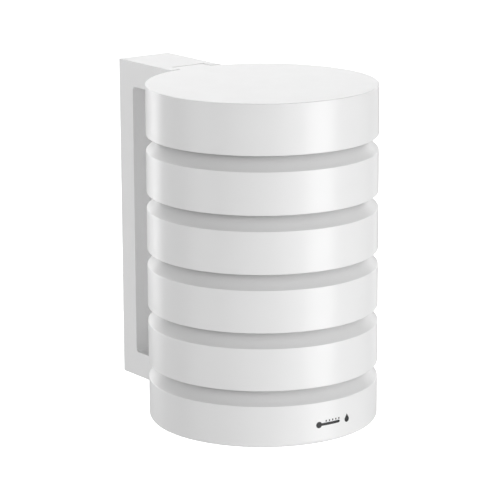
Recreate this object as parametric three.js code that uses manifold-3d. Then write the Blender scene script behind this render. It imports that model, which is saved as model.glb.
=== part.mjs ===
// Wall-mounted weather station: a louvred radiation shield that hangs on a C-shaped wall bracket,
// with the outdoor sensor module standing in the base cover, which pulls out downwards.
// Millimetres, +Z up. The origin is on the wall face of the bracket, at half its height and width.
// The shield's front looks along -Y. Most pieces are drawn in the stack's own frame, whose origin is
// on the stack's axis at the foot of the base ring, and the stack group carries them to their place.
import * as THREE from "three";
import { mergeVertices } from "three/addons/utils/BufferGeometryUtils.js";
import Module from "manifold-3d";

// ---- Driving dimensions ----
const RADIUS = 50; // outer radius of every ring of the stack
const PITCH = 25.15; // height from one ring's foot to the next
const LOUVRES = 4; // rings between the base ring and the cap
const BAND = 18.3; // height of a ring's upright band
const SLOPE_RISE = 0.95; // how much a ring's slope rises for each millimetre that it runs in
const CAP_HEIGHT = 21.8;
const WALL = 2; // thickness of the rings
const INNER_RADIUS = 34; // where a louvre's slope ends
const GAP = 0.3; // clearance between neighbouring pieces
const AXIS_OUT = 89.5; // wall to the stack's axis

const BRACKET_WIDTH = 27;
const BRACKET_FOOT = 1.2; // the bracket starts this far above the base ring's foot
const ARM_HEIGHT = 11.4;
const BACK_DEPTH = 10.6; // thickness of the upright against the wall
const BRACKET_SKIN = 2.4;

const HOOK_WIDTH = 16.6;
const HOOK_REACH = 55.3; // stack's axis to the back of a hook
const HOOK_SLAB = 3;
const HOOK_DROP = 5.5; // how far a hook's leg reaches down behind the arm's end wall

const MODULE_RADIUS = 22.5;
const MODULE_FOOT = 20;
const MODULE_HEIGHT = 105;
const MODULE_SKIN = 1.2;

// ---- Sizes worked out from them ----
const CAP_FOOT = (LOUVRES + 1) * PITCH;
const HEIGHT = CAP_HEIGHT + CAP_FOOT;
const BRACKET_TOP = HEIGHT + 0.1;
const BRACKET_MIDDLE = (BRACKET_FOOT + BRACKET_TOP) / 2;
const SLOPE_ANGLE = Math.atan(SLOPE_RISE);
const SKIN_DROP = WALL / Math.cos(SLOPE_ANGLE); // a sloping wall's thickness measured upright
const SLOPE_TOP = BAND + (RADIUS - INNER_RADIUS) * SLOPE_RISE;
const MODULE_TOP = MODULE_FOOT + MODULE_HEIGHT;
const ROUND_SEGMENTS = 48;
const MODULE_SEGMENTS = 32;
const SMALL_SEGMENTS = 12;
const THIRDS = [0, 1, 2];

// ---- Materials ----
const plastic = (color, roughness) => new THREE.MeshStandardMaterial({ color, roughness, metalness: 0 });
const metal = (color, roughness) => new THREE.MeshStandardMaterial({ color, roughness, metalness: 1 });
const shieldWhite = plastic(0xececec, 0.32);
const bracketWhite = plastic(0xe2e2e2, 0.4);
const innerGrey = plastic(0xb9bcbf, 0.55);
const rubberBlack = plastic(0x1c1c1d, 0.85);
const boardGreen = plastic(0x1f5a3a, 0.5);
const chipBlack = plastic(0x17181a, 0.4);
const filterWhite = plastic(0xf2f2ee, 0.95);
const lampGreen = plastic(0x9fd8a4, 0.2);
const cellBlue = plastic(0x2f4f7d, 0.35);
const aluminium = metal(0xc4c7ca, 0.35);
const steel = metal(0xa6a9ad, 0.3);

// ---- Solids ----
const wasm = await Module();
wasm.setup();

// A closed geometry as a manifold-3d solid, and a solid as a geometry.
function solid(geometry) {
  const bare = geometry.clone();
  bare.deleteAttribute("normal");
  bare.deleteAttribute("uv");
  const merged = mergeVertices(bare, 1e-4);
  const vertProperties = new Float32Array(merged.attributes.position.array);
  const triVerts = new Uint32Array(merged.index.array);
  return new wasm.Manifold(new wasm.Mesh({ numProp: 3, vertProperties, triVerts }));
}

function geometryOf(made) {
  const { numProp, vertProperties, triVerts } = made.getMesh();
  const points = new Float32Array((vertProperties.length / numProp) * 3);
  for (let i = 0; i * numProp < vertProperties.length; i++) {
    points.set(vertProperties.subarray(i * numProp, i * numProp + 3), i * 3);
  }
  const geometry = new THREE.BufferGeometry();
  geometry.setAttribute("position", new THREE.BufferAttribute(points, 3));
  geometry.setIndex(new THREE.BufferAttribute(new Uint32Array(triVerts), 1));
  geometry.computeVertexNormals();
  return geometry;
}

const joined = (solids) => solids.reduce((whole, next) => whole.add(next));
const without = (whole, cuts) => cuts.reduce((left, cut) => left.subtract(cut), whole);

// A box between two corners.
function box(low, high) {
  const size = high.map((h, i) => h - low[i]);
  const geometry = new THREE.BoxGeometry(...size);
  geometry.translate(...low.map((l, i) => l + size[i] / 2));
  return solid(geometry);
}

// A body turned about Z from a closed outline of [radius, height] points, listed anticlockwise.
function turned(outline, segments = ROUND_SEGMENTS) {
  const points = [...outline, outline[0]].map(([r, z]) => new THREE.Vector2(r, z));
  const geometry = new THREE.LatheGeometry(points, segments);
  geometry.rotateX(Math.PI / 2);
  return solid(geometry);
}

const ring = (inner, outer, low, high, segments = ROUND_SEGMENTS) =>
  turned([[inner, low], [outer, low], [outer, high], [inner, high]], segments);

// An upright cylinder, and one that lies along Y.
function post(radius, low, high, x = 0, y = 0, segments = SMALL_SEGMENTS) {
  const geometry = new THREE.CylinderGeometry(radius, radius, high - low, segments);
  geometry.rotateX(Math.PI / 2);
  geometry.translate(x, y, (low + high) / 2);
  return solid(geometry);
}

function bar(radius, back, front, x, z, segments = SMALL_SEGMENTS) {
  const geometry = new THREE.CylinderGeometry(radius, radius, front - back, segments);
  geometry.translate(x, (back + front) / 2, z);
  return solid(geometry);
}

// Points of an arc about a centre, from one angle to another, in degrees.
function arc([cx, cy], radius, from, to, steps) {
  const points = [];
  for (let i = 0; i <= steps; i++) {
    const a = THREE.MathUtils.degToRad(from + ((to - from) * i) / steps);
    points.push([cx + radius * Math.cos(a), cy + radius * Math.sin(a)]);
  }
  return points;
}

// A flat outline of [x, y] points drawn up from one height to another.
function drawnUp(outline, low, high) {
  const shape = new THREE.Shape(outline.map(([x, y]) => new THREE.Vector2(x, y)));
  const geometry = new THREE.ExtrudeGeometry(shape, { depth: high - low, bevelEnabled: false });
  geometry.translate(0, 0, low);
  return solid(geometry);
}

// A sector of a ring, between two angles in degrees.
function sector(inner, outer, from, to, low, high, steps = 6) {
  const outside = arc([0, 0], outer, from, to, steps);
  const inside = arc([0, 0], inner, to, from, steps);
  return drawnUp([...outside, ...inside], low, high);
}

const spun = (made, degrees) => made.rotate([0, 0, degrees]);

function piece(group, name, made, material) {
  const mesh = new THREE.Mesh(geometryOf(made), material);
  mesh.name = name;
  group.add(mesh);
}

// ---- Tie screws and the posts they run in ----
const POST_CIRCLE = 39;
const POST_RADIUS = 3.5;
const POST_TOP = 32; // above the slope it passes through; the post of the ring above stands on it
const POST_FOOT = POST_TOP - PITCH + GAP;
const POST_ANGLES = THIRDS.map((i) => 30 + 120 * i);
const SCREW_RADIUS = 1.5;
const SCREW_HOLE = SCREW_RADIUS + GAP;
const SCREW_HEAD = 2.9;
const SCREW_TOP = HEIGHT - 6;
const SCREW_HEAD_FOOT = 0.8;
const SCREW_HEAD_HEIGHT = 2.4;

const postPlace = (degrees) => {
  const a = THREE.MathUtils.degToRad(degrees);
  return [POST_CIRCLE * Math.cos(a), POST_CIRCLE * Math.sin(a)];
};
const postsBetween = (low, high) => POST_ANGLES.map((a) => post(POST_RADIUS, low, high, ...postPlace(a)));
const screwHoles = (low, high) => POST_ANGLES.map((a) => post(SCREW_HOLE, low, high, ...postPlace(a)));

function tieScrew(degrees) {
  const [x, y] = postPlace(degrees);
  const headTop = SCREW_HEAD_FOOT + SCREW_HEAD_HEIGHT;
  const head = post(SCREW_HEAD, SCREW_HEAD_FOOT, headTop, x, y);
  const shank = post(SCREW_RADIUS, headTop - 0.5, SCREW_TOP, x, y, 10);
  const slot = [x - 2, y - 0.35, SCREW_HEAD_FOOT - 1];
  const slotEnd = [x + 2, y + 0.35, SCREW_HEAD_FOOT + 1];
  const cross = [x - 0.35, y - 2, SCREW_HEAD_FOOT - 1];
  const crossEnd = [x + 0.35, y + 2, SCREW_HEAD_FOOT + 1];
  return without(head.add(shank), [box(slot, slotEnd), box(cross, crossEnd)]);
}

// ---- Rings of the stack ----
const SHOULDER_ROUND = 0.5;

// The rounded corner where the upright band turns in to the slope.
function shoulder() {
  const turn = Math.PI / 2 - SLOPE_ANGLE;
  const setBack = SHOULDER_ROUND * Math.tan(turn / 2);
  const centre = [RADIUS - SHOULDER_ROUND, BAND - setBack];
  return arc(centre, SHOULDER_ROUND, 0, THREE.MathUtils.radToDeg(turn), 2);
}

// A ring's outline from its outer foot up round the shoulder, up the slope and back down inside.
function ringOutline(foot, insideFoot) {
  const inside = RADIUS - WALL;
  return [
    ...foot,
    ...shoulder(),
    [INNER_RADIUS, SLOPE_TOP],
    [INNER_RADIUS, SLOPE_TOP - SKIN_DROP],
    [inside, BAND + WALL * SLOPE_RISE - SKIN_DROP],
    [inside, insideFoot],
  ];
}

function louvre() {
  const plate = turned(ringOutline([[RADIUS, 0]], 0));
  return without(joined([plate, ...postsBetween(POST_FOOT, POST_TOP)]), screwHoles(0, POST_TOP + 1));
}

// ---- Hooks that hang the stack on the bracket ----
// A slab reaches back over the arm's end wall and a leg drops behind it.
const HOOK_LEG = HOOK_REACH - 52.6;
const HOOK_ROOT = 48.6; // inside the ring's band, which the slab grows out of

function hook(slabFoot) {
  const half = HOOK_WIDTH / 2;
  const slab = box([-half, HOOK_ROOT - 1, slabFoot], [half, HOOK_REACH, slabFoot + HOOK_SLAB]);
  const leg = box([-half, HOOK_REACH - HOOK_LEG, slabFoot - HOOK_DROP], [half, HOOK_REACH, slabFoot + 1]);
  return slab.add(leg);
}

const BASE_HOOK_FOOT = BRACKET_FOOT + ARM_HEIGHT + GAP;
const CAP_HOOK_FOOT = HEIGHT - HOOK_SLAB;

// ---- Base ring: the lowest ring, with a floor that the base cover plugs into ----
const FLOOR = 3;
const FLOOR_HOLE = 32;
const FLANGE_RECESS = 35;
const FLANGE_RECESS_TOP = 1.6;
const BASE_EDGE_ROUND = 2;
const DRAIN_ANGLES = [0, 1, 2, 3, 4, 5].map((i) => 60 * i);

function baseRing() {
  const edge = arc([RADIUS - BASE_EDGE_ROUND, BASE_EDGE_ROUND], BASE_EDGE_ROUND, -90, 0, 3);
  const outline = [
    [FLOOR_HOLE, FLANGE_RECESS_TOP],
    [FLANGE_RECESS, FLANGE_RECESS_TOP],
    [FLANGE_RECESS, 0],
    ...ringOutline(edge, FLOOR),
    [FLOOR_HOLE, FLOOR],
  ];
  const headPockets = POST_ANGLES.map((a) => {
    const [x, y] = postPlace(a);
    return post(SCREW_HEAD + GAP, -1, SCREW_HEAD_FOOT + SCREW_HEAD_HEIGHT + GAP, x, y);
  });
  const drains = DRAIN_ANGLES.map((a) => sector(38.5, 44.5, a - 10, a + 10, -1, FLOOR + 1, 4));
  const body = joined([turned(outline), ...postsBetween(1, POST_TOP), hook(BASE_HOOK_FOOT)]);
  return without(body, [...screwHoles(0, POST_TOP + 1), ...headPockets, ...drains]);
}

// ---- Cap: the top ring, closed above, with the socket that steadies the module's head ----
const ROOF = 3;
const CAP_EDGE_ROUND = 1;
const SOCKET_RADIUS = 23.4;
const SOCKET_FOOT = MODULE_TOP - 6.5;
const SOCKET_WINDOW_FOOT = MODULE_TOP + 3;

function topCap() {
  const inside = RADIUS - WALL;
  const edge = arc([RADIUS - CAP_EDGE_ROUND, HEIGHT - CAP_EDGE_ROUND], CAP_EDGE_ROUND, 0, 90, 3);
  const outline = [
    [0, HEIGHT - ROOF],
    [inside, HEIGHT - ROOF],
    [inside, CAP_FOOT],
    [RADIUS, CAP_FOOT],
    ...edge,
    [0, HEIGHT],
  ];
  const socketOuter = SOCKET_RADIUS + WALL;
  const socket = ring(SOCKET_RADIUS, socketOuter, SOCKET_FOOT, HEIGHT - ROOF + 1, MODULE_SEGMENTS);
  const windows = [0, 60, 120].map((a) =>
    spun(box([-30, -6, SOCKET_WINDOW_FOOT], [30, 6, HEIGHT - ROOF - 3]), a),
  );
  const posts = postsBetween(CAP_FOOT + POST_FOOT, HEIGHT - ROOF + 1);
  const body = joined([turned(outline), without(socket, windows), ...posts, hook(CAP_HOOK_FOOT)]);
  return without(body, screwHoles(CAP_FOOT, SCREW_TOP + GAP));
}

// ---- Wall bracket: a hollow C, closed at the wall by the wall plate ----
const ARM_END = RADIUS + GAP; // radius of the hollow that each arm's end wraps round the stack
const ARM_END_WALL = 2;
const WINDOW_ROUND = 1.6;
const WALL_SCREW_HEIGHTS = [BRACKET_MIDDLE - 40, BRACKET_MIDDLE + 40];
const WALL_BOSS = 5.4;
const WALL_SCREW_HOLE = 2.4;
const WALL_SCREW_SEAT = 4.4;
const PLATE_THICK = 2.4;
const PLATE_SCREW_HEIGHTS = [BRACKET_MIDDLE - 56, BRACKET_MIDDLE + 56];
const PLATE_BOSS = 3.4;
const PLATE_SCREW = 1.3;
const PLATE_HEAD = 2.4;
const BOSS_SEGMENTS = 20;

// A rectangle in the Y-Z plane with rounded corners at its wall side, drawn across X.
function sideBlock(front, back, low, high, round, half) {
  const outline = [
    [front, low],
    ...arc([back - round, low + round], round, -90, 0, 3),
    ...arc([back - round, high - round], round, 0, 90, 3),
    [front, high],
  ];
  const shape = new THREE.Shape(outline.map(([y, z]) => new THREE.Vector2(y, z)));
  const geometry = new THREE.ExtrudeGeometry(shape, { depth: 2 * half, bevelEnabled: false });
  geometry.rotateX(Math.PI / 2); // shape's Y to Z, depth to -Y
  geometry.rotateZ(Math.PI / 2); // shape's X to Y, depth to X
  geometry.translate(-half, 0, 0);
  return solid(geometry);
}

function wallBracket() {
  const half = BRACKET_WIDTH / 2;
  const back = AXIS_OUT;
  const windowBack = back - BACK_DEPTH;
  const lowArmTop = BRACKET_FOOT + ARM_HEIGHT;
  const highArmFoot = BRACKET_TOP - ARM_HEIGHT;
  const inHalf = half - BRACKET_SKIN;
  const skin = BRACKET_SKIN;
  const outside = box([-half, 40, BRACKET_FOOT], [half, back, BRACKET_TOP]);
  const window = sideBlock(20, windowBack, lowArmTop, highArmFoot, WINDOW_ROUND, half + 5);
  const stack = post(ARM_END, -5, BRACKET_TOP + 5, 0, 0, ROUND_SEGMENTS);
  // The hollow of each arm ends at its end wall, which follows the stack's curve.
  const endWall = post(ARM_END + ARM_END_WALL, -5, BRACKET_TOP + 5, 0, 0, ROUND_SEGMENTS);
  const hollowBetween = (front, low, high) => box([-inHalf, front, low], [inHalf, back + 1, high]);
  const lowHollow = hollowBetween(40, BRACKET_FOOT + skin, lowArmTop - skin);
  const highHollow = hollowBetween(40, highArmFoot + skin, BRACKET_TOP - skin);
  const backHollow = hollowBetween(windowBack + skin, BRACKET_FOOT + skin, BRACKET_TOP - skin);
  const hollow = joined([lowHollow, highHollow, backHollow]).subtract(endWall);
  const pocketHalf = HOOK_WIDTH / 2 + GAP;
  const pocketBetween = (low, high) => box([-pocketHalf, 40, low], [pocketHalf, HOOK_REACH + GAP, high]);
  const capPocket = pocketBetween(CAP_HOOK_FOOT - GAP, BRACKET_TOP + 1);
  const basePocket = pocketBetween(lowArmTop - skin - 0.1, lowArmTop + 1).subtract(endWall);
  const shell = without(outside, [window, stack, hollow, capPocket, basePocket]);
  const atWallScrews = (radius, from, to) =>
    WALL_SCREW_HEIGHTS.map((z) => bar(radius, from, to, 0, z, BOSS_SEGMENTS));
  const atPlateScrews = (radius, from, to) => PLATE_SCREW_HEIGHTS.map((z) => bar(radius, from, to, 0, z));
  const wallBosses = atWallScrews(WALL_BOSS, windowBack + 1, back);
  const plateBosses = atPlateScrews(PLATE_BOSS, windowBack + 1, back - PLATE_THICK - GAP);
  return without(joined([shell, ...wallBosses, ...plateBosses]), [
    ...atWallScrews(WALL_SCREW_HOLE, windowBack - 1, back + 1),
    ...atWallScrews(WALL_SCREW_SEAT, windowBack - 1, windowBack + 2),
    ...atPlateScrews(PLATE_SCREW + GAP, windowBack + 4, back),
  ]);
}

function wallPlate() {
  const inHalf = BRACKET_WIDTH / 2 - BRACKET_SKIN - GAP;
  const low = [-inHalf, AXIS_OUT - PLATE_THICK, BRACKET_FOOT + BRACKET_SKIN + GAP];
  const high = [inHalf, AXIS_OUT, BRACKET_TOP - BRACKET_SKIN - GAP];
  const hole = (radius, depth, z, segments) =>
    bar(radius, AXIS_OUT - depth, AXIS_OUT + 1, 0, z, segments);
  const around = WALL_SCREW_HEIGHTS.map((z) => hole(WALL_BOSS + GAP, 5, z, BOSS_SEGMENTS));
  const holes = PLATE_SCREW_HEIGHTS.map((z) => hole(PLATE_SCREW + GAP, 5, z));
  const sinks = PLATE_SCREW_HEIGHTS.map((z) => hole(PLATE_HEAD + GAP, 1.7, z));
  return without(box(low, high), [...around, ...holes, ...sinks]);
}

function plateScrew(z) {
  const headFoot = AXIS_OUT - 1.4;
  const head = bar(PLATE_HEAD, headFoot, AXIS_OUT - 0.2, 0, z);
  const shank = bar(PLATE_SCREW, AXIS_OUT - 6, headFoot + 0.5, 0, z, 10);
  const slot = box([-1.7, AXIS_OUT - 0.9, z - 0.3], [1.7, AXIS_OUT + 1, z + 0.3]);
  const cross = box([-0.3, AXIS_OUT - 0.9, z - 1.7], [0.3, AXIS_OUT + 1, z + 1.7]);
  return without(head.add(shank), [slot, cross]);
}

// ---- Base cover: plugs into the base ring from below and carries the module in its cup ----
const COVER_RADIUS = FLOOR_HOLE - 0.4;
const COVER_FOOT = 0.5;
const FLANGE_RADIUS = FLANGE_RECESS - 0.4;
const FLANGE_TOP = FLANGE_RECESS_TOP - GAP;
const COVER_FLOOR_FOOT = 2.2;
const COVER_FLOOR_TOP = 4.4;
const COVER_RIM_TOP = 8;
const CUP_RADIUS = MODULE_RADIUS + 0.5;
const CUP_TOP = MODULE_FOOT + 4;
const SHELF_TOP = MODULE_FOOT - 2;
const SEAT_FOOT = SHELF_TOP + GAP;
const SEAT_TOP = MODULE_FOOT - GAP;
const SEAT_HOLE = 15;
const VENTS = 10;

function baseCover() {
  const rim = turned([
    [COVER_RADIUS - WALL, COVER_FOOT],
    [FLANGE_RADIUS, COVER_FOOT],
    [FLANGE_RADIUS, FLANGE_TOP],
    [COVER_RADIUS, FLANGE_TOP],
    [COVER_RADIUS, COVER_RIM_TOP],
    [COVER_RADIUS - WALL, COVER_RIM_TOP],
  ]);
  const floor = post(COVER_RADIUS - 1, COVER_FLOOR_FOOT, COVER_FLOOR_TOP, 0, 0, ROUND_SEGMENTS);
  const cup = ring(CUP_RADIUS, CUP_RADIUS + WALL, COVER_FLOOR_TOP - 0.5, CUP_TOP, MODULE_SEGMENTS);
  const shelf = ring(SEAT_HOLE, CUP_RADIUS + 0.5, SHELF_TOP - WALL, SHELF_TOP, MODULE_SEGMENTS);
  const cupWindows = [0, 60, 120].map((a) =>
    spun(box([-30, -5, COVER_FLOOR_TOP + 2], [30, 5, SHELF_TOP - WALL - 2]), a),
  );
  const gripHalf = COVER_RADIUS - 1;
  const grip = box([-gripHalf, -3, COVER_FOOT + 0.1], [gripHalf, 3, COVER_FLOOR_FOOT + 0.5]);
  const vents = [...Array(VENTS).keys()].map((i) =>
    spun(box([9, -1.1, 0], [19.5, 1.1, COVER_FLOOR_TOP + 1]), (360 / VENTS) * (i + 0.5)),
  );
  return without(joined([rim, floor, without(cup, cupWindows), shelf, grip]), vents);
}

const seatPad = () => ring(SEAT_HOLE + 0.5, CUP_RADIUS - GAP, SEAT_FOOT, SEAT_TOP, MODULE_SEGMENTS);

// ---- Sensor module ----
const END_CAP = 5.7; // height of each plastic end
const END_PLATE = 2.4; // thickness of its flat end
const SPIGOT = 4.3;
const SEAL_GAP = 1.6;
const SHELL_FOOT = MODULE_FOOT + END_CAP + SEAL_GAP;
const SHELL_TOP = MODULE_TOP - END_CAP - GAP;
const IN_RADIUS = MODULE_RADIUS - MODULE_SKIN;
const SPIGOT_RADIUS = IN_RADIUS - GAP;

const moduleShell = () => ring(IN_RADIUS, MODULE_RADIUS, SHELL_FOOT, SHELL_TOP, MODULE_SEGMENTS);
const moduleSeal = () => {
  const foot = MODULE_FOOT + END_CAP + GAP;
  return ring(SPIGOT_RADIUS + GAP, MODULE_RADIUS - 0.1, foot, foot + SEAL_GAP - 2 * GAP, MODULE_SEGMENTS);
};

// An end cap with a spigot; its outline is mirrored for the top.
function endCap(rim, inner, spigotEnd, edge) {
  const turnedIn = Math.sign(inner - rim);
  const outline = [
    [0, rim],
    [MODULE_RADIUS - edge, rim],
    [MODULE_RADIUS, rim + turnedIn * edge],
    [MODULE_RADIUS, inner],
    [SPIGOT_RADIUS, inner],
    [SPIGOT_RADIUS, spigotEnd],
    [SPIGOT_RADIUS - WALL, spigotEnd],
    [SPIGOT_RADIUS - WALL, rim + turnedIn * END_PLATE],
    [0, rim + turnedIn * END_PLATE],
  ];
  return turned(turnedIn > 0 ? outline : outline.reverse(), MODULE_SEGMENTS);
}

const CAP_SCREW_PLACES = [[-14, -6], [14, -6]];
const LAMP_Y = -14;

function moduleFootCap() {
  const cap = endCap(MODULE_FOOT, MODULE_FOOT + END_CAP, MODULE_FOOT + END_CAP + SPIGOT, 1);
  const below = MODULE_FOOT - 1;
  const vents = [-6, -3, 0, 3, 6].map((y) => box([-7, y - 0.6, below], [7, y + 0.6, MODULE_FOOT + 4]));
  const holes = CAP_SCREW_PLACES.map(([x, y]) => post(1.2, below, MODULE_FOOT + 6, x, y));
  const sinks = CAP_SCREW_PLACES.map(([x, y]) => post(2.2, below, MODULE_FOOT + 1.3, x, y));
  return without(cap, [...vents, ...holes, ...sinks]);
}

function moduleHeadCap() {
  const cap = endCap(MODULE_TOP, MODULE_TOP - END_CAP, MODULE_TOP - END_CAP - SPIGOT, 1);
  const lampHole = post(1.8, MODULE_TOP - 5, MODULE_TOP + 1, 0, LAMP_Y);
  return cap.subtract(lampHole);
}

function capScrew([x, y]) {
  const head = post(1.9, MODULE_FOOT + 0.1, MODULE_FOOT + 1, x, y);
  const shank = post(0.9, MODULE_FOOT + 0.8, MODULE_FOOT + 9, x, y, 10);
  const slot = box([x - 1.5, y - 0.25, MODULE_FOOT - 1], [x + 1.5, y + 0.25, MODULE_FOOT + 0.5]);
  return head.add(shank).subtract(slot);
}

// Chassis: an upright plate with two shelves that hold the cells behind it.
const CELL_RADIUS = 5.25;
const CELL_LENGTH = 44.5;
const CELL_FOOT = 62;
const CELL_X = 6.2;
const CELL_Y = 9.8;
const SPRING_LENGTH = 3.6;
const SHELF = 2;
const BAY_FOOT = CELL_FOOT - SPRING_LENGTH - 2 * GAP;
const BAY_TOP = CELL_FOOT + CELL_LENGTH + 1.3;

function chassis() {
  const plate = box([-16.5, 1.4, MODULE_FOOT + 12], [16.5, 3.4, MODULE_TOP - 12]);
  const shelves = [BAY_FOOT - SHELF, BAY_TOP].map((z) => box([-12, 1.4, z], [12, 16, z + SHELF]));
  const limb = (x, back, low, high) =>
    box([x - 2, -8, MODULE_FOOT + low], [x + 2, back, MODULE_FOOT + high]);
  const knees = CAP_SCREW_PLACES.map(([x]) => limb(x, 3.4, 11, 14));
  const legs = CAP_SCREW_PLACES.map(([x]) => limb(x, -4, 2.7, 12));
  const holes = CAP_SCREW_PLACES.map(([x, y]) => post(1.2, MODULE_FOOT, MODULE_FOOT + 10, x, y, 10));
  return without(joined([plate, ...shelves, ...knees, ...legs]), holes);
}

function cell(x) {
  const top = CELL_FOOT + CELL_LENGTH;
  const can = post(CELL_RADIUS, CELL_FOOT, top - 1, x, CELL_Y, 24);
  return can.add(post(1.9, top - 1.5, top, x, CELL_Y));
}

// A coil spring of round wire, closed at its ends by the extrusion.
function cellSpring(x) {
  const WIRE = 0.4;
  const TURNS = 3;
  const STEPS_PER_TURN = 10;
  const points = [];
  for (let i = 0; i <= TURNS * STEPS_PER_TURN; i++) {
    const t = i / (TURNS * STEPS_PER_TURN);
    const a = 2 * Math.PI * TURNS * t;
    const r = 3.6 - 1.6 * t;
    const z = BAY_FOOT + GAP + WIRE + t * (SPRING_LENGTH - 2 * WIRE);
    points.push(new THREE.Vector3(x + r * Math.cos(a), CELL_Y + r * Math.sin(a), z));
  }
  const corners = arc([0, 0], WIRE, 0, 288, 4).map(([u, v]) => new THREE.Vector2(u, v));
  const section = new THREE.Shape(corners);
  const extrudePath = new THREE.CatmullRomCurve3(points);
  const steps = TURNS * STEPS_PER_TURN;
  return solid(new THREE.ExtrudeGeometry(section, { steps, extrudePath, bevelEnabled: false }));
}

const cellBridge = () => {
  const foot = CELL_FOOT + CELL_LENGTH + GAP;
  return box([-CELL_X - 3, CELL_Y - 3, foot], [CELL_X + 3, CELL_Y + 3, foot + 0.5]);
};

// Circuit board in front of the chassis, with what is soldered to its face.
const BOARD_BACK = 1.1;
const BOARD_THICK = 1.6;
const BOARD_FACE = BOARD_BACK - BOARD_THICK;
const onBoard = (x, z, width, height, depth, lift = GAP) =>
  box([x - width / 2, BOARD_FACE - lift - depth, z], [x + width / 2, BOARD_FACE - lift, z + height]);

function statusLamp() {
  const lens = post(1.5, MODULE_TOP - 5, MODULE_TOP - 0.4, 0, LAMP_Y);
  const flange = post(2.6, MODULE_TOP - 5, MODULE_TOP - END_PLATE - GAP, 0, LAMP_Y);
  return lens.add(flange);
}

// ---- The object ----
const weatherStation = new THREE.Group();
const stackFrame = new THREE.Group();
stackFrame.position.set(0, -AXIS_OUT, -BRACKET_MIDDLE);
weatherStation.add(stackFrame);

piece(stackFrame, "wall_bracket", wallBracket(), bracketWhite);
piece(stackFrame, "wall_plate", wallPlate(), bracketWhite);
PLATE_SCREW_HEIGHTS.forEach((z, i) => piece(stackFrame, `plate_screw_${i + 1}`, plateScrew(z), steel));

piece(stackFrame, "top_cap", topCap(), shieldWhite);
for (let i = 1; i <= LOUVRES; i++) {
  const level = new THREE.Group();
  level.position.z = PITCH * (LOUVRES + 1 - i);
  piece(level, `louvre_${i}`, louvre(), shieldWhite);
  stackFrame.add(level);
}
piece(stackFrame, "base_ring", baseRing(), shieldWhite);
POST_ANGLES.forEach((a, i) => piece(stackFrame, `tie_screw_${i + 1}`, tieScrew(a), steel));

piece(stackFrame, "base_cover", baseCover(), shieldWhite);
piece(stackFrame, "module_seat_pad", seatPad(), rubberBlack);

piece(stackFrame, "module_shell", moduleShell(), aluminium);
piece(stackFrame, "module_head_cap", moduleHeadCap(), innerGrey);
piece(stackFrame, "module_foot_cap", moduleFootCap(), innerGrey);
piece(stackFrame, "module_seal", moduleSeal(), rubberBlack);
CAP_SCREW_PLACES.forEach((place, i) => {
  piece(stackFrame, `module_screw_${i + 1}`, capScrew(place), steel);
});
piece(stackFrame, "module_chassis", chassis(), innerGrey);
piece(stackFrame, "status_lamp", statusLamp(), lampGreen);
[-CELL_X, CELL_X].forEach((x, i) => {
  piece(stackFrame, `battery_${i + 1}`, cell(x), cellBlue);
  piece(stackFrame, `battery_spring_${i + 1}`, cellSpring(x), steel);
});
piece(stackFrame, "battery_bridge", cellBridge(), steel);

const board = box([-14.5, BOARD_FACE, MODULE_FOOT + 16], [14.5, BOARD_BACK, MODULE_TOP - 14]);
piece(stackFrame, "circuit_board", board, boardGreen);
piece(stackFrame, "radio_can", onBoard(0, 78, 15, 18, 2.4), steel);
piece(stackFrame, "controller_chip", onBoard(-4, 60, 7, 7, 1), chipBlack);
piece(stackFrame, "pressure_sensor", onBoard(7, 60, 4, 5, 1.2), steel);
piece(stackFrame, "humidity_sensor", onBoard(0, 41, 3, 3, 1), chipBlack);
piece(stackFrame, "sensor_filter", onBoard(0, 38, 9, 9, 0.8, 1.6), filterWhite);

export default weatherStation;
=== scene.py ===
"""The looks of a wall-mounted louvred weather sensor shield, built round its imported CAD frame.

The frame's origin is on the bracket's wall face, with +Z up and the shield's front towards -Y.
Pieces are drawn in millimetres about the stack's axis, with z from the base ring's foot (from their
own foot for the other rings), and dressed() takes each to its place in the frame, in metres.
"""

import math

import bmesh
import bpy
from mathutils import Matrix, Vector


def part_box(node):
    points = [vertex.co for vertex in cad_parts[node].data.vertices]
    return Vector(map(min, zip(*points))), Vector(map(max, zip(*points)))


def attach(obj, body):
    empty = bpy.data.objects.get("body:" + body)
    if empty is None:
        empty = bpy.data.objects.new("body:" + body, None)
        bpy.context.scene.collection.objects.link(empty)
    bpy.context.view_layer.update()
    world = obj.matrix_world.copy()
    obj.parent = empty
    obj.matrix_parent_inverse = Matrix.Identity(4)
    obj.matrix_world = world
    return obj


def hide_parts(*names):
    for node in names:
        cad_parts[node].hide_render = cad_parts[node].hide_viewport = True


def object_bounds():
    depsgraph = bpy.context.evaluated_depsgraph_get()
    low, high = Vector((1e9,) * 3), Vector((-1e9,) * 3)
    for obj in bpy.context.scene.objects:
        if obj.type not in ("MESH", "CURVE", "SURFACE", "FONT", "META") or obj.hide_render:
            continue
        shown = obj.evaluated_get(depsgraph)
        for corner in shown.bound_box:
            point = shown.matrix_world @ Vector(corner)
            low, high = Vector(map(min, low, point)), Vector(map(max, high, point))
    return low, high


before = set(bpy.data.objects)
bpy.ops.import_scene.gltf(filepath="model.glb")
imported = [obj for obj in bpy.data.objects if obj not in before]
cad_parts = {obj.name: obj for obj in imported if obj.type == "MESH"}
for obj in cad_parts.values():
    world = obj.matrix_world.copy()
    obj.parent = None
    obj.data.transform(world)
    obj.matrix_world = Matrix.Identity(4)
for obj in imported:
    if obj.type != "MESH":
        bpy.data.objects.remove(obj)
cad_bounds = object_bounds()

MM = 0.001

# ---- Places and sizes read from the frame, in millimetres ----


def low(node):
    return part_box(node)[0] / MM


def high(node):
    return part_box(node)[1] / MM


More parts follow.
